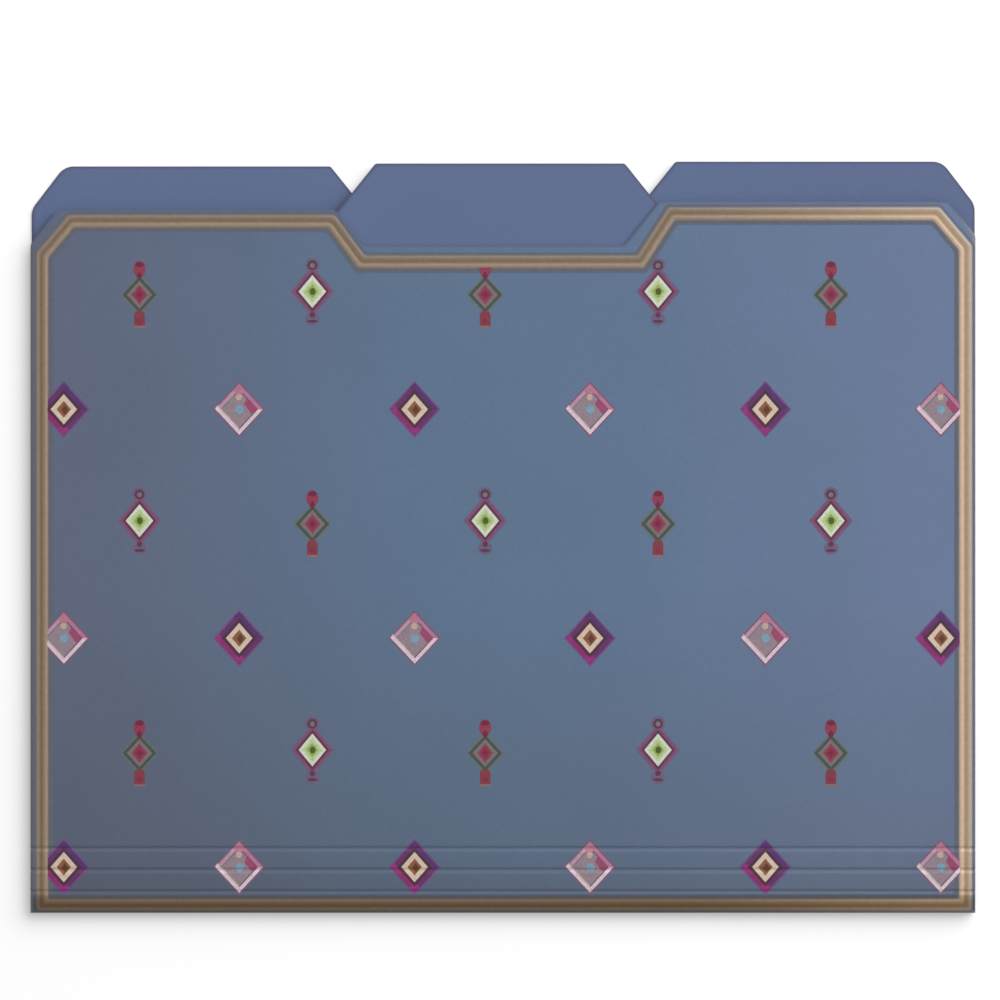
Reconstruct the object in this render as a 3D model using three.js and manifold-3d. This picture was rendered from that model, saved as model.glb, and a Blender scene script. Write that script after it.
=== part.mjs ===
// A set of three letter-size file folders, stacked flat. Each folder is one sheet of heavy coated
// card, folded along its bottom edge, with a tab on its back panel, a cut-out in its front panel
// that shows the tab, and three score lines pressed into the front panel above the fold.
// X runs along the fold, +Y from the fold to the tabs and +Z up through the stack, from the face
// that lies on the table. Millimetres.
import * as THREE from "three";
import { mergeVertices } from "three/addons/utils/BufferGeometryUtils.js";
import Module from "manifold-3d";

// The sheet
const folderWidth = 298.5;
const cardThickness = 0.4;

// A closed folder, and the stack that it lies in
const closedGap = 0.3; // between the inner faces of the front and back panels
const stackClearance = 0.3; // between one folder and the next
const creaseGap = 0.3; // between a panel and the bulge of the bottom fold

// The bottom fold, which bulges where the card turns back on itself
const foldMouthAngle = 50; // half of the angle that the bulge leaves open, in degrees

// The score lines, counted up from the bottom fold
const scoreCount = 3;
const scorePitch = 7;
const scoreHalfWidth = 0.6;
const scoreDepth = 0.16;

// Heights of the outlines. Each sheet is folded by hand, a little above or below its true line, so
// its back panel gains what its front panel loses.
const folderHeight = 236.8; // from the outer edge of the bottom fold to the tab's top edge
const tabHeight = 15.4; // of the tab above the back panel's shoulders
const frontRiseLeft = 0.7; // of the front panel's left shoulder above the back panel's
const frontRiseRight = 3.5;
const cutoutDepth = 11.2; // from the front panel's left shoulder down to the cut-out's floor
const foldSlip = { left: -0.7, centre: 0, right: 0.7 };

// Places of the tabs and cut-outs along the fold
const sideTabInner = 54.6; // from the middle to the inner corner of a side tab
const centreTabWidth = 78.8;
const centreTabMiddle = -0.9;
const centreCutoutWidth = 82.2;
const centreCutoutMiddle = -2.9;
const sideCutoutInner = 49; // from the middle to the inner corner of a side cut-out
const slantRun = 0.8; // how far a slanted edge runs sideways for each millimetre that it rises

// The cut corners and the radii that soften them
const tabCornerRun = 10.4;
const tabCornerDrop = 13.6;
const tabCornerRadius = 6;
const shoulderCornerRun = 8.6;
const shoulderCornerDrop = 10.8;
const shoulderCornerRadius = 3;
const tabRadius = 1.4;
const cutoutRadius = 2.4;

// How finely the shapes are made
const cornerSteps = 8; // to each rounded corner
const foldSteps = 18; // round the bulge of the bottom fold
const mergeDistance = 1e-4; // below which two corners of a mesh are one

// What follows from these
const foldRadius = cardThickness + closedGap / 2;
const folderThickness = 2 * foldRadius;
const foldReach = Math.sqrt((foldRadius + creaseGap) ** 2 - (closedGap / 2) ** 2);
const panelStart = foldRadius + foldReach;
const frontSheetZ = cardThickness + closedGap;
const halfWidth = folderWidth / 2;
const backShoulder = folderHeight - tabHeight;
const frontShoulderLeft = backShoulder + frontRiseLeft;
const frontShoulderRight = backShoulder + frontRiseRight;
const cutoutFloor = frontShoulderLeft - cutoutDepth;
const stackDepth = folderHeight + Math.max(foldSlip.left, foldSlip.centre, foldSlip.right);

const wasm = await Module();
wasm.setup();

// A closed geometry as a solid that can be cut.
function solidOf(geometry) {
  const bare = geometry.clone();
  bare.deleteAttribute("normal");
  bare.deleteAttribute("uv");
  const merged = mergeVertices(bare, mergeDistance);
  return new wasm.Manifold(
    new wasm.Mesh({
      numProp: 3,
      vertProperties: new Float32Array(merged.attributes.position.array),
      triVerts: new Uint32Array(merged.index.array),
    }),
  );
}

// A solid as a geometry with flat faces.
function geometryOf(solid) {
  const mesh = solid.getMesh();
  const geometry = new THREE.BufferGeometry();
  geometry.setAttribute("position", new THREE.BufferAttribute(mesh.vertProperties, 3));
  geometry.setIndex(new THREE.BufferAttribute(mesh.triVerts, 1));
  const flat = geometry.toNonIndexed();
  flat.computeVertexNormals();
  return flat;
}

// A closed outline through corners given as [x, y, radius], counterclockwise.
function roundedOutline(corners) {
  const shape = new THREE.Shape();
  corners.forEach(([x, y, radius], index) => {
    const corner = new THREE.Vector2(x, y);
    const before = new THREE.Vector2(...corners.at(index - 1)).sub(corner).normalize();
    const after = new THREE.Vector2(...corners[(index + 1) % corners.length]).sub(corner).normalize();
    const halfAngle = Math.acos(before.dot(after)) / 2;
    const start = before.clone().multiplyScalar(radius / Math.tan(halfAngle)).add(corner);
    if (index === 0) shape.moveTo(start.x, start.y);
    else shape.lineTo(start.x, start.y);
    if (radius === 0) return;
    const end = after.clone().multiplyScalar(radius / Math.tan(halfAngle)).add(corner);
    const centre = before.clone().add(after).normalize();
    centre.multiplyScalar(radius / Math.sin(halfAngle)).add(corner);
    const startAngle = Math.atan2(start.y - centre.y, start.x - centre.x);
    const endAngle = Math.atan2(end.y - centre.y, end.x - centre.x);
    shape.absarc(centre.x, centre.y, radius, startAngle, endAngle, before.cross(after) > 0);
  });
  return shape;
}

// A flat piece of card with the given corners, its lower face at height z.
function cardPanel(corners, z) {
  const settings = { depth: cardThickness, bevelEnabled: false, curveSegments: cornerSteps };
  const geometry = new THREE.ExtrudeGeometry(roundedOutline(corners), settings);
  return geometry.translate(0, 0, z);
}

// A shape drawn in the Y-Z plane, drawn out along the whole fold.
function alongFold(shape, length) {
  const settings = { depth: length, bevelEnabled: false, curveSegments: foldSteps };
  const geometry = new THREE.ExtrudeGeometry(shape, settings);
  geometry.translate(0, 0, -length / 2);
  geometry.rotateY(Math.PI / 2);
  return geometry.rotateX(Math.PI / 2);
}

// The two corners where an edge at the given height turns down into a side, right side first.
function cutCorner(side, height, run, drop, radius) {
  const low = [side * halfWidth, height - drop, radius];
  const high = [side * (halfWidth - run), height, radius];
  return side > 0 ? [low, high] : [high, low];
}

function shoulderCorner(side, height) {
  return cutCorner(side, height, shoulderCornerRun, shoulderCornerDrop, shoulderCornerRadius);
}

function tabCorner(side, height) {
  return cutCorner(side, height, tabCornerRun, tabCornerDrop, tabCornerRadius);
}

// The top edge of a back panel, from right to left.
function tabEdge(tab) {
  const top = folderHeight + foldSlip[tab];
  const shoulder = backShoulder + foldSlip[tab];
  const run = slantRun * tabHeight;
  if (tab === "centre") {
    const right = centreTabMiddle + centreTabWidth / 2;
    const left = centreTabMiddle - centreTabWidth / 2;
    return [
      ...shoulderCorner(1, shoulder),
      [right + run, shoulder, tabRadius],
      [right, top, tabRadius],
      [left, top, tabRadius],
      [left - run, shoulder, tabRadius],
      ...shoulderCorner(-1, shoulder),
    ];
  }
  if (tab === "right")
    return [
      ...tabCorner(1, top),
      [sideTabInner, top, tabRadius],
      [sideTabInner - run, shoulder, tabRadius],
      ...shoulderCorner(-1, shoulder),
    ];
  return [
    ...shoulderCorner(1, shoulder),
    [run - sideTabInner, shoulder, tabRadius],
    [-sideTabInner, top, tabRadius],
    ...tabCorner(-1, top),
  ];
}

// The top edge of a front panel, from right to left: level shoulders, and a cut-out at the tab.
function cutoutEdge(tab) {
  const floor = cutoutFloor - foldSlip[tab];
  const highRight = frontShoulderRight - foldSlip[tab];
  const highLeft = frontShoulderLeft - foldSlip[tab];
  const runRight = slantRun * (highRight - floor);
  const runLeft = slantRun * (highLeft - floor);
  if (tab === "centre") {
    const right = centreCutoutMiddle + centreCutoutWidth / 2;
    const left = centreCutoutMiddle - centreCutoutWidth / 2;
    return [
      ...shoulderCorner(1, highRight),
      [right + runRight, highRight, cutoutRadius],
      [right, floor, cutoutRadius],
      [left, floor, cutoutRadius],
      [left - runLeft, highLeft, cutoutRadius],
      ...shoulderCorner(-1, highLeft),
    ];
  }
  if (tab === "right")
    return [
      ...shoulderCorner(1, floor),
      [sideCutoutInner, floor, cutoutRadius],
      [sideCutoutInner - runLeft, highLeft, cutoutRadius],
      ...shoulderCorner(-1, highLeft),
    ];
  return [
    ...shoulderCorner(1, highRight),
    [runRight - sideCutoutInner, highRight, cutoutRadius],
    [-sideCutoutInner, floor, cutoutRadius],
    ...shoulderCorner(-1, floor),
  ];
}

// The wedge that each score line presses out of the outer face of the front sheet.
function scoreWedges() {
  const top = frontSheetZ + cardThickness;
  const wedge = new THREE.Shape();
  wedge.moveTo(0, -scoreDepth);
  wedge.lineTo(2 * scoreHalfWidth, scoreDepth);
  wedge.lineTo(-2 * scoreHalfWidth, scoreDepth);
  const geometry = alongFold(wedge, folderWidth + 2 * scorePitch);
  const wedges = [];
  for (let score = 1; score <= scoreCount; score += 1)
    wedges.push(solidOf(geometry.clone().translate(0, score * scorePitch, top)));
  return wedges;
}

function backPanel(tab) {
  const corners = [[-halfWidth, panelStart, 0], [halfWidth, panelStart, 0], ...tabEdge(tab)];
  return cardPanel(corners, 0);
}

// The front panel, with the score lines pressed into its outer face.
function frontPanel(tab, wedges) {
  const corners = [[-halfWidth, panelStart, 0], [halfWidth, panelStart, 0], ...cutoutEdge(tab)];
  const card = solidOf(cardPanel(corners, frontSheetZ));
  return geometryOf(wedges.reduce((solid, wedge) => solid.subtract(wedge), card));
}

// The bulge of card along the bottom fold, an open tube whose mouth faces the panels.
function bottomFold() {
  const mouth = THREE.MathUtils.degToRad(foldMouthAngle);
  const section = new THREE.Shape();
  section.absarc(0, 0, foldRadius, mouth, 2 * Math.PI - mouth, false);
  section.absarc(0, 0, foldRadius - cardThickness, 2 * Math.PI - mouth, mouth, true);
  return alongFold(section, folderWidth).translate(0, foldRadius, foldRadius);
}

// Matt coated card, a dusty blue outside on the front sheet and a little more violet on the tabs.
const cardFinish = { roughness: 0.62, metalness: 0 };
const frontCard = new THREE.MeshStandardMaterial({ color: 0x62758f, ...cardFinish });
const backCard = new THREE.MeshStandardMaterial({ color: 0x636f94, ...cardFinish });

function addPiece(folder, name, geometry, material) {
  const mesh = new THREE.Mesh(geometry, material);
  mesh.name = name;
  folder.add(mesh);
}

// One folder, closed and lying on its back panel.
function makeFolder(tab) {
  const folder = new THREE.Group();
  const wedges = scoreWedges();
  addPiece(folder, tab + "_back_panel", backPanel(tab), backCard);
  addPiece(folder, tab + "_bottom_fold", bottomFold(), frontCard);
  addPiece(folder, tab + "_front_panel", frontPanel(tab, wedges), frontCard);
  return folder;
}

// The stack, from the table up, with its plan centred on the origin.
const folderSet = new THREE.Group();
["left", "right", "centre"].forEach((tab, level) => {
  const folder = makeFolder(tab);
  folder.position.set(0, -stackDepth / 2, level * (folderThickness + stackClearance));
  folderSet.add(folder);
});

export default folderSet;
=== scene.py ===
import math

import bmesh
import bpy
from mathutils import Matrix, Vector


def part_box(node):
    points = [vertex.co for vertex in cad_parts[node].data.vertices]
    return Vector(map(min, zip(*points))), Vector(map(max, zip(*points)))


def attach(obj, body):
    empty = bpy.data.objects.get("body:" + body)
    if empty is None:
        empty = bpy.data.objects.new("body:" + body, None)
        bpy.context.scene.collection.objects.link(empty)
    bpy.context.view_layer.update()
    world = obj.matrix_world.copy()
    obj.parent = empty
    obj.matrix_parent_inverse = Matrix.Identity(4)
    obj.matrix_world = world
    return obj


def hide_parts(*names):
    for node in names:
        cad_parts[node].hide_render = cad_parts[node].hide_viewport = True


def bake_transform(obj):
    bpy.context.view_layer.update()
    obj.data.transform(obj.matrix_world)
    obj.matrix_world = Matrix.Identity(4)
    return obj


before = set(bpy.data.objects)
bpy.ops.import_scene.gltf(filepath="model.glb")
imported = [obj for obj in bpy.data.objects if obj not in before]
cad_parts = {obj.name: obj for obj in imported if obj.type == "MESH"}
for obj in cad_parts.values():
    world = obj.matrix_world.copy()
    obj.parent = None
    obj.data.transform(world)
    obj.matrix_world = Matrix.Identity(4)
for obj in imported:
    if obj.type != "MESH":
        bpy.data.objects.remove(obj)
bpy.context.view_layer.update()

# Lengths are given in millimetres, and colours as they look on a screen, from 0 to 255.
MM = 0.001
TABS = ("left", "right", "centre")
scene = bpy.context.scene
scene.view_settings.view_transform = "Standard"


# The camera hangs 1.3 m above the stack and looks straight down on the printed front.
# A long lens keeps the tabs and the front panel at nearly one scale.
camera_place = (-0.93, 11.7, 1320.0)
camera_lens = 150
camera_sensor = 36
nearest_seen = 50
farthest_seen = 20000
camera_data = bpy.data.cameras.new("photo_camera")
camera_data.lens = camera_lens
camera_data.sensor_width = camera_sensor
camera_data.clip_start = nearest_seen * MM
camera_data.clip_end = farthest_seen * MM
camera = bpy.data.objects.new("photo_camera", camera_data)
camera.location = Vector(camera_place) * MM
scene.collection.objects.link(camera)
scene.camera = camera


# A matt white table top, with one very large soft lamp above its far right corner and a faint
# even room around it. The lamp leaves a soft shade below the fold and along the left side.
floor_depth = -0.25
floor_half = 4000
floor_grey = 0.85
floor_lift = 0.34
lamp_place = (2300, 2400, 2300)
lamp_size = 5200
lamp_power = 227
room_light = 0.25
white = (1, 1, 1, 1)


def given_to(tree, socket, value):
    """Links the output of a node to a socket, or sets the socket where the value is a plain one."""
    if isinstance(value, bpy.types.NodeSocket):
        tree.links.new(value, socket)
    else:
        socket.default_value = value


def calculated(tree, operation, *values):
    """The output of a math node, whose values are plain numbers or outputs of other nodes."""
    node = tree.nodes.new("ShaderNodeMath")
    node.operation = operation
    for socket, value in zip(node.inputs, values):
        given_to(tree, socket, value)
    return node.outputs[0]


def seen_directly(tree):
    """One where a ray comes straight from the eye, a glossy face or a clear one, and else nought."""
    path = tree.nodes.new("ShaderNodeLightPath")
    rays = path.outputs
    seen_or_glossy = calculated(tree, "MAXIMUM", rays["Is Camera Ray"], rays["Is Glossy Ray"])
    return calculated(tree, "MAXIMUM", seen_or_glossy, rays["Is Transmission Ray"])


room = bpy.data.worlds.new("white_room")
room.use_nodes = True
scene.world = room
room_nodes = room.node_tree.nodes
room_links = room.node_tree.links
room_nodes.clear()
room_seen = room_nodes.new("ShaderNodeBackground")
room_seen.inputs["Strength"].default_value = 1
room_seen.inputs["Color"].default_value = white
room_fill = room_nodes.new("ShaderNodeBackground")
room_fill.inputs["Strength"].default_value = room_light
room_fill.inputs["Color"].default_value = white
room_mix = room_nodes.new("ShaderNodeMixShader")
room_out = room_nodes.new("ShaderNodeOutputWorld")
room_links.new(seen_directly(room.node_tree), room_mix.inputs["Fac"])
room_links.new(room_fill.outputs[0], room_mix.inputs[1])
room_links.new(room_seen.outputs[0], room_mix.inputs[2])
room_links.new(room_mix.outputs[0], room_out.inputs["Surface"])

lamp_data = bpy.data.lights.new("soft_lamp", "AREA")
lamp_data.shape = "DISK"
lamp_data.size = lamp_size * MM
lamp_data.energy = lamp_power
lamp = bpy.data.objects.new("soft_lamp", lamp_data)
lamp.location = Vector(lamp_place) * MM
lamp.rotation_euler = (-lamp.location).to_track_quat("-Z", "Y").to_euler()
scene.collection.objects.link(lamp)

floor_paint = bpy.data.materials.new("table_white")
floor_paint.use_nodes = True
floor_tree = floor_paint.node_tree
floor_tree.nodes.clear()
floor_matt = floor_tree.nodes.new("ShaderNodeBsdfDiffuse")
floor_matt.inputs["Color"].default_value = (floor_grey, floor_grey, floor_grey, 1)
floor_glow = floor_tree.nodes.new("ShaderNodeEmission")
floor_glow.inputs["Color"].default_value = white
floor_strength = calculated(floor_tree, "MULTIPLY", seen_directly(floor_tree), floor_lift)
floor_add = floor_tree.nodes.new("ShaderNodeAddShader")
floor_out = floor_tree.nodes.new("ShaderNodeOutputMaterial")
floor_tree.links.new(floor_strength, floor_glow.inputs["Strength"])
floor_tree.links.new(floor_matt.outputs[0], floor_add.inputs[0])
floor_tree.links.new(floor_glow.outputs[0], floor_add.inputs[1])
floor_tree.links.new(floor_add.outputs[0], floor_out.inputs["Surface"])

floor_mesh = bpy.data.meshes.new("table_top")
floor_quarters = ((-1, -1), (1, -1), (1, 1), (-1, 1))
floor_corners = [(x * floor_half * MM, y * floor_half * MM, floor_depth * MM) for x, y in floor_quarters]
floor_mesh.from_pydata(floor_corners, [], [(0, 1, 2, 3)])
floor_mesh.materials.append(floor_paint)
floor = bpy.data.objects.new("table_top", floor_mesh)
scene.collection.objects.link(floor)


# The back panels. Each is the plain half of its sheet, die-cut from heavy coated card with a
# staggered tab, and lies flat. Its inner face is a dusty blue with a violet cast.
back_low, back_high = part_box("left_back_panel")
card_thickness = (back_high.z - back_low.z) / MM
cut_edge_softness = 0.03
cut_edge_steps = 2
pressed_rim = 1.2
pressed_rim_drop = 0.07
inside_blues = ((97, 112, 149), (96, 112, 149), (95, 110, 147))
inside_rims = [(82, 84, 112)] * 3
# The outside blues grow paler and bluer to the right: partly the card's own shift, partly painted light
# from the lamp on the right.
outside_blues_lit_right = ((96, 106, 129), (96, 119, 148), (107, 125, 158))
# The outside rims: greyer down the left side, plain along the top, and pale down the right side as a
# painted highlight.
outside_rims_highlit_right = ((103, 99, 101), (90, 101, 128), (154, 145, 141))
cut_edge = (78, 82, 108)
blue_and_light_shift = (-150, 150)
mottle_scale = 22
fleck_scale = 900
mottle_reach = (0.6, 1.4)
mottle_tones = (0.94, 1.06)
# Painted shade: the card grows darker and duller towards the fold, broadly and then more in the last few
# millimetres above it.
fold_shade_reach = (-118, -14)
fold_shade_tones = (0.74, 1)
crease_shade_reach = (-112, -98)
crease_shade_tones = (0.9, 1)
dulled_reach = (0.66, 1)
dulled_tones = (0.84, 1)
# Where the side rim colours take over: on the right a painted highlight.
side_rim_reach = (143, 149)
card_roughness = (0.54, 0.66)
card_shine = 0.3
grain_scale = 3200
grain_strength = 0.25
grain_height = 0.02


def metres(lengths):
    """Lengths given in millimetres, in metres."""
    return [length * MM for length in lengths]


def screen_colour(red, green, blue):
    """A colour given by how it looks on a screen, as the opaque linear colour that shaders take."""
    linear = [((part / 255 + 0.055) / 1.055) ** 2.4 for part in (red, green, blue)]
    return (*linear, 1)


def mapped(tree, value, reach, results=(0, 1), smooth=False):
    """A number that goes from one result to the other while the value crosses its reach."""
    node = tree.nodes.new("ShaderNodeMapRange")
    node.interpolation_type = "SMOOTHSTEP" if smooth else "LINEAR"
    node.inputs["From Min"].default_value, node.inputs["From Max"].default_value = reach
    node.inputs["To Min"].default_value, node.inputs["To Max"].default_value = results
    tree.links.new(value, node.inputs["Value"])
    return node.outputs["Result"]


def cloudiness(tree, place, scale, detail):
    """Soft random clouds through a piece, smaller where the scale is larger."""
    node = tree.nodes.new("ShaderNodeTexNoise")
    node.inputs["Scale"].default_value = scale
    node.inputs["Detail"].default_value = detail
    tree.links.new(place, node.inputs["Vector"])
    return node.outputs["Fac"]


def toned(tree, colour, saturation, brightness):
    """A colour made duller or stronger, and darker or paler."""
    node = tree.nodes.new("ShaderNodeHueSaturation")
    given_to(tree, node.inputs["Color"], colour)
    given_to(tree, node.inputs["Saturation"], saturation)
    given_to(tree, node.inputs["Value"], brightness)
    return node.outputs["Color"]


def mixed(tree, amount, first, second):
    """A colour that turns from the first to the second as the amount grows."""
    node = tree.nodes.new("ShaderNodeMixRGB")
    given_to(tree, node.inputs["Fac"], amount)
    given_to(tree, node.inputs["Color1"], first)
    given_to(tree, node.inputs["Color2"], second)
    return node.outputs["Color"]


def colour_ramp(tree, amount, ends, stops):
    """A colour that eases from one end to the other through stops given as (amount, colour)."""
    node = tree.nodes.new("ShaderNodeValToRGB")
    node.color_ramp.interpolation = "EASE"
    for element, colour in zip(node.color_ramp.elements, ends):
        element.color = screen_colour(*colour)
    for position, colour in stops:
        node.color_ramp.elements.new(position).color = screen_colour(*colour)
    tree.links.new(amount, node.inputs["Fac"])
    return node.outputs["Color"]


def own_place(tree):
    """The place on the piece itself, and how far it is along X and Y."""
    place = tree.nodes.new("ShaderNodeTexCoord").outputs["Object"]
    parts = tree.nodes.new("ShaderNodeSeparateXYZ")
    tree.links.new(place, parts.inputs[0])
    return place, parts.outputs["X"], parts.outputs["Y"]


def own_value(tree, attribute, output):
    """What the piece's mesh stores under the attribute's name."""
    node = tree.nodes.new("ShaderNodeAttribute")
    node.attribute_name = attribute
    return node.outputs[output]


def card_finish(name, blues, rims):
    """Matt coated card: a soft mottle and a fine grain, its blue shifting a little from left to right,
    partly as painted light that is paler towards the lamp on the right.

    It is duller and darker towards the fold, as painted shade: a broad fall-off away from the lamp, and a
    deeper band where the card tips into the fold. It turns towards a rim colour along its pressed rim, to a
    greyer one down the left side, and to a pale one down the right side as a painted highlight where the
    lamp catches that edge.
    """
    material = bpy.data.materials.new(name)
    material.use_nodes = True
    tree = material.node_tree
    shader = tree.nodes["Principled BSDF"]
    place, x, y = own_place(tree)
    left, middle, right = blues
    # Partly painted light: the blue brightens towards the lamp's side.
    shift = colour_ramp(tree, mapped(tree, x, metres(blue_and_light_shift)), (left, right), [(0.5, middle)])
    cloud = cloudiness(tree, place, mottle_scale, detail=4)
    fleck = cloudiness(tree, place, fleck_scale, detail=3)
    mottle = mapped(tree, calculated(tree, "ADD", cloud, fleck), mottle_reach, mottle_tones)
    # Painted shade towards the fold, in place of the lamp's fall-off and of the card tipping into the
    # crease.
    painted_fold_shade = mapped(tree, y, metres(fold_shade_reach), fold_shade_tones)
    painted_crease_shade = mapped(tree, y, metres(crease_shade_reach), crease_shade_tones, smooth=True)
    painted_shade = calculated(tree, "MULTIPLY", painted_fold_shade, painted_crease_shade)
    dulled = mapped(tree, painted_shade, dulled_reach, dulled_tones)
    flat_tone = toned(tree, shift, dulled, calculated(tree, "MULTIPLY", mottle, painted_shade))
    left_rim, rim, highlit_right_rim = rims
    rim_tone = screen_colour(*rim)
    # The pale right side rim is a painted highlight where the lamp catches that edge.
    for side, side_rim in ((-1, left_rim), (1, highlit_right_rim)):
        near_side = mapped(tree, x, [side * length for length in metres(side_rim_reach)])
        rim_tone = mixed(tree, near_side, rim_tone, screen_colour(*side_rim))
    colour = mixed(tree, own_value(tree, "rim", "Fac"), flat_tone, rim_tone)
    tree.links.new(colour, shader.inputs["Base Color"])
    tree.links.new(mapped(tree, cloud, (0, 1), card_roughness), shader.inputs["Roughness"])
    shader.inputs["Specular IOR Level"].default_value = card_shine
    bump = tree.nodes.new("ShaderNodeBump")
    bump.inputs["Strength"].default_value = grain_strength
    bump.inputs["Distance"].default_value = grain_height * MM
    tree.links.new(cloudiness(tree, place, grain_scale, detail=2), bump.inputs["Height"])
    tree.links.new(bump.outputs["Normal"], shader.inputs["Normal"])
    return material


card_inside = card_finish("card_inside_violet_blue", inside_blues, inside_rims)
card_outside = card_finish("card_outside_dusty_blue", outside_blues_lit_right, outside_rims_highlit_right)
card_edge = card_finish("card_cut_edge", [cut_edge] * 3, [cut_edge] * 3)

# How near two places count as one, which faces count as walls, and which edges as sharp ones.
same_place = 0.001
join_width = 0.002
cut_slack = 0.0001
level_difference = 0.2
steep = 0.5
sharp_turn = 1.2

# A piece's materials are given for its inner or lower skin, its outer or upper skin, and its cut edge.
upper_skin = 1
edge_skin = 2


def die_line(node):
    """The outline of a CAD panel's lower face, as a ring of flat points in order."""
    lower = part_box(node)[0].z
    flat = bmesh.new()
    flat.from_mesh(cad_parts[node].data)
    bmesh.ops.remove_doubles(flat, verts=flat.verts, dist=same_place * MM)
    under = [f for f in flat.faces if all(abs(v.co.z - lower) < same_place * MM for v in f.verts)]
    following = {}
    for face in under:
        for loop in face.loops:
            if not any(f != face and f in under for f in loop.edge.link_faces):
                following[loop.vert.index] = loop.link_loop_next.vert.index
    flat.verts.ensure_lookup_table()
    start = next(iter(following))
    ring = [start]
    while following[ring[-1]] != start:
        ring.append(following[ring[-1]])
    points = [(flat.verts[i].co.x, flat.verts[i].co.y) for i in ring]
    flat.free()
    return points


def cut_along(shape, y, **cleared):
    """Cuts a flat shape's faces along one line that runs parallel to the fold."""
    everything = shape.verts[:] + shape.edges[:] + shape.faces[:]
    return bmesh.ops.bisect_plane(
        shape, geom=everything, dist=cut_slack * MM, plane_co=(0, y, 0), plane_no=(0, 1, 0), **cleared
    )


def finished_piece(shape, name, skins):
    """The object made of a shape and its materials, put into the scene."""
    mesh = bpy.data.meshes.new(name)
    shape.to_mesh(mesh)
    shape.free()
    for skin in skins:
        mesh.materials.append(skin)
    piece = bpy.data.objects.new(name, mesh)
    scene.collection.objects.link(piece)
    return piece


def pressed_card(name, points, rows, lower, upper, skins, joined_at):
    """A die-cut panel between two height curves: flat where they are level, pressed where they dip.

    A narrow rim all round is pressed down a little and marked for a darker colour, but not where the card
    goes on.
    """

    def away_from_join(vert):
        return abs(vert.co.y - joined_at) > join_width * MM

    panel = bmesh.new()
    sheet = panel.faces.new([panel.verts.new((x, y, 0)) for x, y in points])
    panel.normal_update()
    bmesh.ops.inset_region(
        panel, faces=[sheet], thickness=pressed_rim * MM, use_boundary=True, use_even_offset=True
    )
    for row in rows:
        cut_along(panel, row)
    under = panel.verts[:]
    raised = bmesh.ops.extrude_face_region(panel, geom=panel.faces[:], use_keep_orig=True)
    for vert in under:
        vert.co.z = lower(vert.co.y)
    for vert in raised["geom"]:
        if isinstance(vert, bmesh.types.BMVert):
            vert.co.z = upper(vert.co.y)
    bmesh.ops.recalc_face_normals(panel, faces=panel.faces)
    top_verts = set()
    wall_verts = set()
    for face in panel.faces:
        if face.normal.z > steep:
            face.material_index = upper_skin
            top_verts.update(face.verts)
        elif face.normal.z >= -steep:
            face.material_index = edge_skin
            wall_verts.update(face.verts)
    for vert in top_verts & wall_verts:
        if away_from_join(vert):
            vert.co.z -= pressed_rim_drop * MM
    sharp = []
    for edge in panel.edges:
        first, second = edge.verts
        is_level = abs(first.co.z - second.co.z) < level_difference * MM
        if is_level and edge.calc_face_angle(0) > sharp_turn and any(away_from_join(v) for v in edge.verts):
            sharp.append(edge)
    bmesh.ops.bevel(
        panel,
        geom=sharp,
        offset=cut_edge_softness * MM,
        segments=cut_edge_steps,
        profile=0.5,
        affect="EDGES",
        material=edge_skin,
    )
    rim = panel.verts.layers.float.new("rim")
    for vert in panel.verts:
        on_cut_line = any(face.material_index == edge_skin for face in vert.link_faces)
        vert[rim] = 1 if on_cut_line and away_from_join(vert) else 0
    return finished_piece(panel, name, skins)


for tab in TABS:
    node = tab + "_back_panel"
    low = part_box(node)[0]
    back = pressed_card(
        tab + "_back_card",
        die_line(node),
        [],
        lambda y, level=low.z: level,
        lambda y, level=low.z: level + card_thickness * MM,
        (card_outside, card_inside, card_edge),
        low.y,
    )
    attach(back, tab + "_back")
    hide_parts(node)


# The front panels. Each is the printed half of its sheet, cut low where it shows its own tab.
# It eases down into the bottom fold, and three score lines are pressed into it above the fold.
fold_low, fold_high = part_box("left_bottom_fold")
closed_thickness = (fold_high.z - fold_low.z) / MM
ease_length = 5.5
ease_drop = 0.2
ease_steps = 6
score_places = (6.8, 13.6, 20.4)
score_depth = 0.25
score_upper_wall = 0.95
score_lower_wall = 1.3
wall_steps = 5
bend_radius = (closed_thickness - ease_drop) / 2


def front_height(y):
    """Height of the printed face above the folder's lower face, y millimetres up from the fold's edge."""
    height = closed_thickness
    if y < bend_radius:
        return bend_radius + math.sqrt(max(0, bend_radius ** 2 - (bend_radius - y) ** 2))
    if y < bend_radius + ease_length:
        height -= ease_drop * (1 - (y - bend_radius) / ease_length) ** 2
    for score in score_places:
        away = y - score
        wall = score_upper_wall if away > 0 else score_lower_wall
        if abs(away) < wall:
            height -= score_depth * (1 + math.cos(math.pi * away / wall)) / 2
    return height


press_rows = [bend_radius + ease_length * step / ease_steps for step in range(1, ease_steps + 1)]
for score in score_places:
    press_rows += [score - score_lower_wall * step / wall_steps for step in range(1, wall_steps + 1)]
    press_rows += [score + score_upper_wall * step / wall_steps for step in range(wall_steps + 1)]

for tab in TABS:
    node = tab + "_front_panel"
    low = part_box(node)[0]
    fold_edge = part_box(tab + "_bottom_fold")[0]
    front = pressed_card(
        tab + "_front_card",
        die_line(node),
        [fold_edge.y + row * MM for row in press_rows],
        lambda y, e=fold_edge: e.z + (front_height((y - e.y) / MM) - card_thickness) * MM,
        lambda y, e=fold_edge: e.z + front_height((y - e.y) / MM) * MM,
        (card_inside, card_outside, card_edge),
        low.y,
    )
    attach(front, tab + "_front")
    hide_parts(node)


# The bottom folds. The same sheet rolls over itself along a crushed crease, and joins its back
# panel to its front panel.
roll_steps = 12


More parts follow.
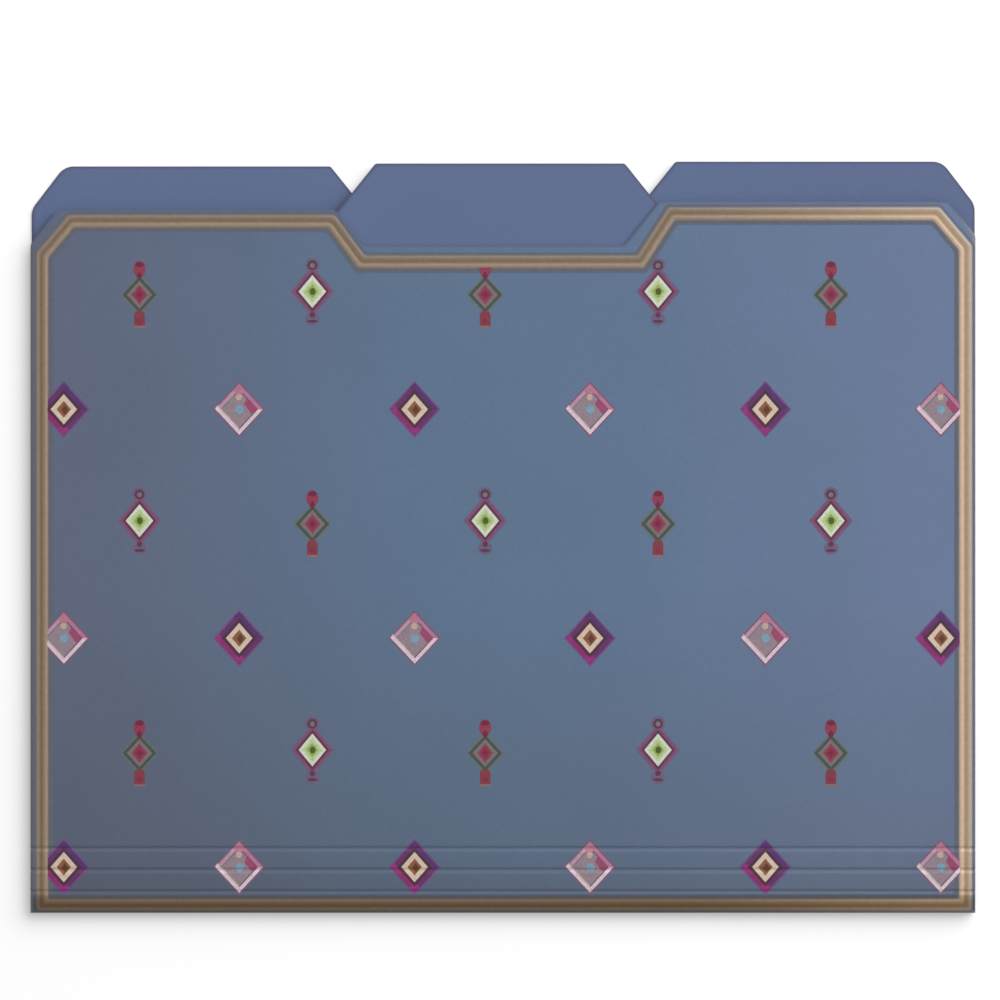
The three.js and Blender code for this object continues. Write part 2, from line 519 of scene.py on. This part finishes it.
def fold_section(edge, join):
    """The crease's section: out along the outer face of the card, and back along the inner one."""
    reach = (join - edge.y) / MM
    inner_radius = bend_radius - card_thickness
    outer = [(reach, 0)]
    inner = [(reach, card_thickness)]
    for step in range(roll_steps + 1):
        turn = math.pi * step / roll_steps
        across, up = math.sin(turn), math.cos(turn)
        outer.append((bend_radius * (1 - across), bend_radius * (1 - up)))
        inner.append((bend_radius - inner_radius * across, bend_radius - inner_radius * up))
    outer.append((reach, front_height(reach)))
    inner.append((reach, front_height(reach) - card_thickness))
    return outer, inner


for tab in TABS:
    node = tab + "_bottom_fold"
    low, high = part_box(node)
    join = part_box(tab + "_front_panel")[0].y
    outer, inner = fold_section(low, join)
    section = outer + inner[::-1]
    roll = bmesh.new()
    rim = roll.verts.layers.float.new("rim")
    rings = []
    rim_width = pressed_rim * MM
    for x, at_rim in ((low.x, 1), (low.x + rim_width, 0), (high.x - rim_width, 0), (high.x, 1)):
        rings.append([roll.verts.new((x, low.y + y * MM, low.z + z * MM)) for y, z in section])
        for vert in rings[-1]:
            vert[rim] = at_rim
    for near, far in zip(rings, rings[1:]):
        for index in range(len(section)):
            follow = (index + 1) % len(section)
            face = roll.faces.new([near[index], near[follow], far[follow], far[index]])
            if index < len(outer) - 1:
                face.material_index = upper_skin
    for end in (rings[0], rings[-1]):
        cap = roll.faces.new(end)
        cap.material_index = edge_skin
    bmesh.ops.recalc_face_normals(roll, faces=roll.faces)
    fold = finished_piece(roll, tab + "_fold_card", (card_inside, card_outside, card_edge))
    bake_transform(fold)
    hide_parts(node)


# The printed figures, in opaque inks on the matt card. Small lozenges with beads alternate in one
# set of rows, and larger lozenges stand half a drop between them, so that the rows interlock.
ink_layer = 0.006
film_underside = -0.006
ink_scale = 1400
ink_reach = (0.3, 0.7)
ink_tones = (0.86, 1.1)
ink_roughness = 0.6
ink_shine = 0.3
ink_colours = {
    "leaf": (72, 78, 74),
    "fern": (102, 116, 100),
    "taupe": (124, 114, 116),
    "rose": (146, 58, 82),
    "crimson": (132, 44, 70),
    "wine": (108, 36, 64),
    "brick": (132, 58, 70),
    "sand": (136, 112, 114),
    "plum": (86, 54, 80),
    "bloom": (112, 96, 126),
    "halo": (138, 72, 110),
    "cream": (222, 226, 206),
    "mint": (190, 210, 152),
    "lime": (150, 178, 92),
    "olive": (78, 92, 34),
    "aster": (116, 76, 130),
    "violet": (100, 48, 102),
    "indigo": (84, 50, 108),
    "magenta": (140, 44, 108),
    "fuchsia": (152, 48, 126),
    "shade": (74, 40, 58),
    "ivory": (222, 200, 182),
    "umber": (142, 92, 62),
    "bark": (92, 58, 34),
    "garnet": (134, 88, 118),
    "shell": (218, 194, 206),
    "pearl": (232, 214, 224),
    "pink": (190, 152, 172),
    "orchid": (184, 124, 154),
    "dusk": (104, 72, 94),
    "mauve": (152, 134, 144),
    "berry": (160, 74, 112),
    "coral": (188, 124, 146),
    "sky": (126, 164, 188),
    "tan": (202, 174, 164),
}


def diamond(half_width, half_height, x=0, y=0):
    """The four corners of a lozenge, from the right one round to the left and back."""
    return [(x + half_width, y), (x, y + half_height), (x - half_width, y), (x, y - half_height)]


def dot(radius, x, y, sides=10, stretch=1):
    """A round dot, or a taller or flatter bead where it is stretched."""
    points = []
    for side in range(sides):
        turn = 2 * math.pi * side / sides
        points.append((x + radius * math.cos(turn), y + stretch * radius * math.sin(turn)))
    return points


def sides_of(half_width, half_height, y=0):
    """The four sides of a lozenge as pairs of corners, in the same order as its corners."""
    corners = diamond(half_width, half_height, 0, y)
    return [(Vector(corners[side]), Vector(corners[(side + 1) % 4])) for side in range(4)]


def side_bands(inks, layer, outer, inner):
    """The band between two lozenges in four inks, from the upper right side round to the lower right."""
    bands = []
    for ink, (start, end), (inner_start, inner_end) in zip(inks, sides_of(*outer), sides_of(*inner)):
        bands.append((ink, layer, [start, end, inner_end, inner_start]))
    return bands


def fringed(ink, half_width, half_height, y, reach, count):
    """Small pointed ticks that stand out from all four sides of a lozenge."""
    ticks = []
    for start, end in sides_of(half_width, half_height, y):
        step = (end - start) / count
        outward = Vector((step.y, -step.x)).normalized() * reach
        for index in range(count):
            foot = start + step * index
            ticks.append((ink, 1, [foot, foot + step, foot + step / 2 + outward]))
    return ticks


def figure(name, shapes):
    """Flat ink shapes given as (ink, layer, points), each a thin closed film, in one mesh to repeat."""
    film = bmesh.new()
    tint = film.loops.layers.float_color.new("ink")
    for ink, layer, points in shapes:
        corners = [film.verts.new((x * MM, y * MM, film_underside * MM)) for x, y in points]
        face = film.faces.new(corners)
        face.normal_update()
        if face.normal.z < 0:
            face.normal_flip()
        raised = bmesh.ops.extrude_face_region(film, geom=[face], use_keep_orig=True)
        tops = [v for v in raised["geom"] if isinstance(v, bmesh.types.BMVert)]
        for vert in tops:
            vert.co.z = ink_layer * layer * MM
        walls = {f for v in tops for f in v.link_faces}
        face.normal_flip()
        for painted in walls | {face}:
            for loop in painted.loops:
                loop[tint] = screen_colour(*ink_colours[ink])
    bmesh.ops.recalc_face_normals(film, faces=film.faces)
    mesh = bpy.data.meshes.new(name)
    film.to_mesh(mesh)
    film.free()
    return bpy.data.objects.new(name, mesh)


fringed_lozenge = figure(
    "fringed_lozenge",
    fringed("fern", 5.2, 5.6, -1, 1.1, 8)
    + [
        ("leaf", 2, diamond(5.35, 5.8, 0, -1)),
        ("taupe", 3, diamond(4.0, 4.4, 0, -1)),
        ("rose", 4, diamond(2.5, 3.1, 0, -1)),
        ("crimson", 5, diamond(1.5, 1.9, 0, -1)),
        ("wine", 6, dot(0.6, 0, -1)),
        ("rose", 3, dot(1.95, 0, 7.1, 12, 1.35)),
        ("wine", 4, dot(1.4, 0, 8.5, 12, 0.6)),
        ("wine", 4, diamond(0.95, 1.5, 0, 4.9)),
        ("sand", 1.5, [(-1.5, -8), (-1.9, -11.5), (1.9, -11.5), (1.5, -8)]),
        ("brick", 3, [(-1.2, -6.2), (-1.7, -7.4), (-1.7, -10.8), (1.7, -10.8), (1.7, -7.4), (1.2, -6.2)]),
        ("crimson", 4, dot(1.0, 0, -9.4, 8)),
    ],
)
pale_lozenge = figure(
    "pale_lozenge",
    [
        ("bloom", 1, diamond(7.0, 8.3)),
        ("halo", 2, diamond(6.2, 7.4)),
        ("plum", 3, diamond(5.3, 6.4)),
        ("cream", 4, diamond(4.35, 5.2)),
        ("mint", 5, diamond(3.1, 3.7)),
        ("lime", 6, diamond(1.9, 2.3)),
        ("olive", 7, dot(0.95, 0.1, 0, 10, 1.2)),
        ("bloom", 1.5, dot(2.3, 0, 8.4, 12)),
        ("plum", 3.5, dot(1.6, 0, 8.3, 12)),
        ("taupe", 4, dot(0.8, 0, 8.2, 10)),
        ("bloom", 1.5, dot(2.3, 0, -8.7, 12, 0.9)),
        ("plum", 3.5, dot(1.7, 0, -9.4, 12, 0.3)),
        ("plum", 3.5, dot(0.9, 0, -7.4, 10)),
    ],
)
violet_lozenge = figure(
    "violet_lozenge",
    [("aster", 1, diamond(8.2, 9.0))]
    + side_bands(("indigo", "violet", "magenta", "violet"), 2, (7.5, 8.3), (5.0, 5.6))
    + [
        ("fuchsia", 3, diamond(1.9, 1.5, 0, -6.4)),
        ("fuchsia", 3, diamond(1.0, 1.6, -6.3, -0.2)),
        ("indigo", 3, diamond(1.6, 1.4, 0, 6.9)),
        ("shade", 4, diamond(5.55, 6.15)),
        ("ivory", 5, diamond(4.2, 4.8)),
        ("umber", 6, diamond(2.3, 2.7)),
        ("bark", 7, diamond(1.15, 1.6, 0.35, -0.2)),
    ],
)
beads_a_side = 12
bead_radius = 0.5
lower_beads = []
for start, end in sides_of(6.85, 7.35)[2:]:
    for bead in range(beads_a_side):
        place = start + (end - start) * bead / beads_a_side
        lower_beads.append(("pearl", 6, dot(bead_radius, place.x, place.y, 8)))
beaded_lozenge = figure(
    "beaded_lozenge",
    [
        ("garnet", 1, diamond(8.2, 8.8)),
        ("mauve", 2, diamond(6.2, 6.6)),
    ]
    + side_bands(("orchid", "pink", "shell", "shell"), 4, (7.5, 8.05), (5.9, 6.4))
    + side_bands(("dusk", "taupe", "tan", "dusk"), 3, (6.1, 6.6), (5.5, 5.9))
    + [
        ("coral", 5, diamond(1.9, 2.0, 0, 5.9)),
        ("shell", 5, diamond(0.9, 1.1, -6.8, 0.2)),
        ("berry", 3.5, [(5.7, 0), (2.4, 3.4), (1.6, 1.6), (3.9, -1.5)]),
        ("sky", 5, dot(1.35, 0.1, -0.1, 12)),
        ("tan", 5.5, dot(1.0, -0.1, 3.8)),
    ]
    + lower_beads,
)


def ink_finish(name):
    """Opaque printing ink: it takes each shape's own colour, with a slight unevenness of the film."""
    material = bpy.data.materials.new(name)
    material.use_nodes = True
    tree = material.node_tree
    shader = tree.nodes["Principled BSDF"]
    place = tree.nodes.new("ShaderNodeTexCoord").outputs["Object"]
    film_depth = mapped(tree, cloudiness(tree, place, ink_scale, detail=3), ink_reach, ink_tones)
    colour = toned(tree, own_value(tree, "ink", "Color"), 1, film_depth)
    tree.links.new(colour, shader.inputs["Base Color"])
    shader.inputs["Roughness"].default_value = ink_roughness
    shader.inputs["Specular IOR Level"].default_value = ink_shine
    return material


print_ink = ink_finish("printing_ink")


def interlocked_rows():
    """Geometry nodes that set two figures turn about on a grid of points, as on a draughtboard."""
    tree = bpy.data.node_groups.new("interlocked_rows", "GeometryNodeTree")
    tree.interface.new_socket("Geometry", in_out="OUTPUT", socket_type="NodeSocketGeometry")
    for name, kind in (
        ("First figure", "Object"),
        ("Second figure", "Object"),
        ("Columns", "Int"),
        ("Rows", "Int"),
        ("Column pitch", "Float"),
        ("Row pitch", "Float"),
        ("Lower left place", "Vector"),
        ("Ink", "Material"),
    ):
        tree.interface.new_socket(name, in_out="INPUT", socket_type="NodeSocket" + kind)
    nodes = tree.nodes
    links = tree.links
    given = nodes.new("NodeGroupInput").outputs
    result = nodes.new("NodeGroupOutput")

    gaps_across = calculated(tree, "SUBTRACT", given["Columns"], 1)
    gaps_up = calculated(tree, "SUBTRACT", given["Rows"], 1)
    width = calculated(tree, "MULTIPLY", gaps_across, given["Column pitch"])
    height = calculated(tree, "MULTIPLY", gaps_up, given["Row pitch"])
    grid = nodes.new("GeometryNodeMeshGrid")
    links.new(width, grid.inputs["Size X"])
    links.new(height, grid.inputs["Size Y"])
    links.new(given["Columns"], grid.inputs["Vertices X"])
    links.new(given["Rows"], grid.inputs["Vertices Y"])

    half_width = calculated(tree, "MULTIPLY", width, 0.5)
    half_height = calculated(tree, "MULTIPLY", height, 0.5)
    place = nodes.new("GeometryNodeInputPosition")
    parts = nodes.new("ShaderNodeSeparateXYZ")
    links.new(place.outputs[0], parts.inputs[0])
    from_left = calculated(tree, "ADD", parts.outputs["X"], half_width)
    from_foot = calculated(tree, "ADD", parts.outputs["Y"], half_height)
    column = calculated(tree, "ROUND", calculated(tree, "DIVIDE", from_left, given["Column pitch"]))
    row = calculated(tree, "ROUND", calculated(tree, "DIVIDE", from_foot, given["Row pitch"]))
    odd = calculated(tree, "MODULO", calculated(tree, "ADD", column, row), 2)
    joined = nodes.new("GeometryNodeJoinGeometry")
    even = calculated(tree, "SUBTRACT", 1, odd)
    for name, wanted in (("Second figure", odd), ("First figure", even)):
        figure_in = nodes.new("GeometryNodeObjectInfo")
        links.new(given[name], figure_in.inputs["Object"])
        repeat = nodes.new("GeometryNodeInstanceOnPoints")
        links.new(grid.outputs["Mesh"], repeat.inputs["Points"])
        links.new(wanted, repeat.inputs["Selection"])
        links.new(figure_in.outputs["Geometry"], repeat.inputs["Instance"])
        links.new(repeat.outputs["Instances"], joined.inputs[0])

    middle = nodes.new("ShaderNodeCombineXYZ")
    links.new(half_width, middle.inputs["X"])
    links.new(half_height, middle.inputs["Y"])
    shift = nodes.new("ShaderNodeVectorMath")
    links.new(middle.outputs[0], shift.inputs[0])
    links.new(given["Lower left place"], shift.inputs[1])
    real = nodes.new("GeometryNodeRealizeInstances")
    links.new(joined.outputs[0], real.inputs[0])
    moved = nodes.new("GeometryNodeTransform")
    links.new(real.outputs[0], moved.inputs["Geometry"])
    links.new(shift.outputs[0], moved.inputs["Translation"])
    inked = nodes.new("GeometryNodeSetMaterial")
    links.new(moved.outputs[0], inked.inputs["Geometry"])
    links.new(given["Ink"], inked.inputs["Material"])
    links.new(inked.outputs[0], result.inputs[0])
    return tree


print_rows = interlocked_rows()
small_rows = {
    "First figure": fringed_lozenge,
    "Second figure": pale_lozenge,
    "Columns": 5,
    "Rows": 3,
    "Column pitch": 54.6 * MM,
    "Row pitch": 72.4 * MM,
    "Lower left place": (-114.8 * MM, 51.5 * MM, 0),
}
large_rows = {
    "First figure": violet_lozenge,
    "Second figure": beaded_lozenge,
    "Columns": 6,
    "Rows": 3,
    "Column pitch": 55.4 * MM,
    "Row pitch": 72.3 * MM,
    "Lower left place": (-138.7 * MM, 14.5 * MM, 0),
}


def repeated(values):
    """The plain mesh that the row pattern gives with these values, from the fold's outer edge up."""
    holder = bpy.data.objects.new("row_holder", bpy.data.meshes.new("row_holder"))
    scene.collection.objects.link(holder)
    modifier = holder.modifiers.new("rows", "NODES")
    modifier.node_group = print_rows
    for item in print_rows.interface.items_tree:
        if item.in_out == "INPUT":
            modifier[item.identifier] = print_ink if item.name == "Ink" else values[item.name]
    bpy.context.view_layer.update()
    seen = holder.evaluated_get(bpy.context.evaluated_depsgraph_get())
    mesh = bpy.data.meshes.new_from_object(seen)
    bpy.data.objects.remove(holder)
    return mesh


def laid_on_card(film, edge):
    """Bends a flat film over the pressed front: cut along the score walls, then laid on the card."""
    for row in press_rows:
        cut_along(film, row * MM)
    for vert in film.verts:
        vert.co.z += edge.z + front_height(vert.co.y / MM) * MM
        vert.co.y += edge.y


for tab in TABS:
    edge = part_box(tab + "_bottom_fold")[0]
    film = bmesh.new()
    for values in (small_rows, large_rows):
        film.from_mesh(repeated(values))
    laid_on_card(film, edge)
    figures = finished_piece(film, tab + "_figures", [print_ink])
    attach(figures, tab + "_front")


# The border is one band of hot-stamped foil: two raised gold lines, the sunken brown ground between
# them, and the dull margin that the stamp presses on each side. Its foot lies on the fold.
foil_side_left = -147.0
foil_side_right = 147.5
foil_foot = 1.1
foil_lowest = 0.1
foil_left_top = 219.95
foil_right_top = 222.3
foil_cutout_top = 207.1
foil_cut_run = 9.9
foil_cut_drop = 11.7
foil_step_right = (42.6, 52.4)
foil_step_left = (-44.0, -53.5)
foil_outer_margin = 1.5
foil_line_gap = 2.55
foil_inner_margin = 2.4
foil_line_half = 0.8
foil_margin_top = 0.003
foil_ground_top = 0.045
foil_line_top = 0.105
foil_steps = 24
foil_corner = 0.9
foil_corner_steps = 5
foil_outer_gold = (137, 123, 110)
foil_inner_gold = (152, 133, 114)
foil_brown = (118, 98, 78)
foil_margin_grey = (101, 101, 104)
foil_margin_blue = (95, 104, 124)
# Painted shade on the foil over the fold, and a painted highlight on its lines towards the right.
foil_foot_shade_reach = (-115.5, -110.5)
foil_foot_shade_tones = (0.5, 1)
foil_foot_shade_saturation = (1.3, 1)
foil_highlight_reach = (50, 180)
foil_highlight_gain = (0, 1.1)
foil_stamped_past_line = (0.4, 1.4)
foil_grain_scale = 700
foil_grain_tones = (0.86, 1.14)
foil_metal = 0.35
foil_margin_roughness = (0.6, 0.76)
foil_polish = -0.2
foil_shine = 0.3
foil_width = foil_outer_margin + foil_line_gap + foil_inner_margin


def foil_path(tab):
    """Corners of the border's outer line, counterclockwise from the lower left, in millimetres."""
    right_top = foil_cutout_top if tab == "right" else foil_right_top
    left_top = foil_cutout_top if tab == "left" else foil_left_top
    path = [(foil_side_left, foil_foot), (foil_side_right, foil_foot)]
    path.append((foil_side_right, right_top - foil_cut_drop))
    path.append((foil_side_right - foil_cut_run, right_top))
    if tab == "centre":
        path.append((foil_step_right[1], right_top))
        path.append((foil_step_right[0], foil_cutout_top))
        path.append((foil_step_left[0], foil_cutout_top))
        path.append((foil_step_left[1], left_top))
    elif tab == "right":
        path.append((foil_step_right[1], right_top))
        path.append((foil_step_right[0], left_top))
    else:
        path.append((foil_step_left[0], right_top))
        path.append((foil_step_left[1], left_top))
    path.append((foil_side_left + foil_cut_run, left_top))
    path.append((foil_side_left, left_top - foil_cut_drop))
    return path


def set_in(path, distance):
    """The same corners with every side moved towards the middle."""
    moved = []
    for index, corner in enumerate(path):
        here = Vector(corner)
        before = (here - Vector(path[index - 1])).normalized()
        after = (Vector(path[(index + 1) % len(path)]) - here).normalized()
        normal_before = Vector((-before.y, before.x))
        normal_after = Vector((-after.y, after.x))
        middle = (normal_before + normal_after).normalized()
        moved.append(here + middle * (distance / middle.dot(normal_before)))
    return moved


def eased(path, radius):
    """The corners rounded by a short curve, as a ring of points."""
    points = []
    for index, corner in enumerate(path):
        here = Vector(corner)
        start = here + (Vector(path[index - 1]) - here).normalized() * radius
        end = here + (Vector(path[(index + 1) % len(path)]) - here).normalized() * radius
        for step in range(foil_corner_steps + 1):
            s = step / foil_corner_steps
            points.append(start * (1 - s) ** 2 + here * 2 * s * (1 - s) + end * s * s)
    return points


def foil_finish(name):
    """Stamped foil, coloured by its place across the band: two gold lines, and dull margins.

    At its foot it is painted browner and darker, as painted shade where the foil rolls over the fold away
    from the lamp, and its lines are given a painted highlight towards the right side.
    """
    material = bpy.data.materials.new(name)
    material.use_nodes = True
    tree = material.node_tree
    shader = tree.nodes["Principled BSDF"]
    across = own_value(tree, "across", "Fac")
    inner_line = foil_outer_margin + foil_line_gap
    # Distances across the band from its outer edge, and the colour there.
    stops = [
        (0.5 * foil_outer_margin, foil_margin_grey),
        (foil_outer_margin, foil_outer_gold),
        (foil_outer_margin + 0.48 * foil_line_gap, foil_brown),
        (inner_line, foil_inner_gold),
        (inner_line + 0.1 * foil_inner_margin, foil_inner_gold),
        (inner_line + 0.5 * foil_inner_margin, foil_margin_grey),
    ]
    ends = (foil_margin_blue, foil_margin_blue)
    shares = [(distance / foil_width, colour) for distance, colour in stops]
    tint = colour_ramp(tree, across, ends, shares)
    place, x, y = own_place(tree)
    # Painted shade: browner and darker at the foot, where the foil rolls over the fold.
    painted_foot_shade = mapped(tree, y, metres(foil_foot_shade_reach), foil_foot_shade_tones, smooth=True)
    foot_shade_saturation = mapped(tree, painted_foot_shade, foil_foot_shade_tones, foil_foot_shade_saturation)
    # Painted highlight: the gold lines grow brighter towards the lamp on the right.
    painted_highlight = mapped(tree, x, metres(foil_highlight_reach), foil_highlight_gain, smooth=True)
    middle = (foil_outer_margin + foil_line_gap / 2) / foil_width
    from_middle = calculated(tree, "ABSOLUTE", calculated(tree, "SUBTRACT", across, middle))
    stamped_reach = [(foil_line_gap / 2 + past) / foil_width for past in foil_stamped_past_line]
    stamped = mapped(tree, from_middle, stamped_reach, (1, 0), smooth=True)
    highlighted = calculated(tree, "MULTIPLY_ADD", painted_highlight, stamped, 1)
    grain = cloudiness(tree, place, foil_grain_scale, detail=4)
    uneven = mapped(tree, grain, (0, 1), foil_grain_tones)
    shade_and_highlight = calculated(tree, "MULTIPLY", painted_foot_shade, highlighted)
    colour = toned(tree, tint, foot_shade_saturation, calculated(tree, "MULTIPLY", shade_and_highlight, uneven))
    tree.links.new(colour, shader.inputs["Base Color"])
    tree.links.new(calculated(tree, "MULTIPLY", stamped, foil_metal), shader.inputs["Metallic"])
    dullness = mapped(tree, grain, (0, 1), foil_margin_roughness)
    roughness = calculated(tree, "MULTIPLY_ADD", stamped, foil_polish, dullness)
    tree.links.new(roughness, shader.inputs["Roughness"])
    shader.inputs["Specular IOR Level"].default_value = foil_shine
    return material


gold_foil = foil_finish("gold_foil")


def foil_band(film, path):
    """The closed band along a path, as a thin film whose two gold lines stand in low relief."""
    across = film.verts.layers.float.new("across")
    rings = []
    for step in range(foil_steps + 1):
        share = step / foil_steps
        ring = []
        for point in eased(set_in(path, share * foil_width - foil_outer_margin), foil_corner):
            vert = film.verts.new((point.x * MM, max(point.y, foil_lowest) * MM, film_underside * MM))
            vert[across] = share
            ring.append(vert)
        rings.append(ring)
    strip = []
    for outer, inner in zip(rings, rings[1:]):
        for index in range(len(outer)):
            follow = (index + 1) % len(outer)
            strip.append(film.faces.new([outer[index], outer[follow], inner[follow], inner[index]]))
    raised = bmesh.ops.extrude_face_region(film, geom=strip, use_keep_orig=True)
    for vert in raised["geom"]:
        if isinstance(vert, bmesh.types.BMVert):
            distance = vert[across] * foil_width - foil_outer_margin
            from_line = min(abs(distance), abs(distance - foil_line_gap), foil_line_half)
            ridge = math.cos(math.pi * from_line / foil_line_half / 2) ** 2
            ground = foil_ground_top if 0 < distance < foil_line_gap else foil_margin_top
            vert.co.z = (ground + (foil_line_top - ground) * ridge) * MM
    bmesh.ops.recalc_face_normals(film, faces=film.faces)


for tab in TABS:
    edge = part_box(tab + "_bottom_fold")[0]
    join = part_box(tab + "_front_panel")[0].y - edge.y
    band = bmesh.new()
    foil_band(band, foil_path(tab))
    for part in ("front", "fold"):
        half = band.copy()
        cut = cut_along(half, join, clear_inner=part == "front", clear_outer=part == "fold")
        cut_edges = [e for e in cut["geom_cut"] if isinstance(e, bmesh.types.BMEdge)]
        bmesh.ops.edgeloop_fill(half, edges=cut_edges)
        laid_on_card(half, edge)
        foil = finished_piece(half, tab + "_foil_" + part, [gold_foil])
        if part == "front":
            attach(foil, tab + "_front")
        else:
            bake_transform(foil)
    band.free()
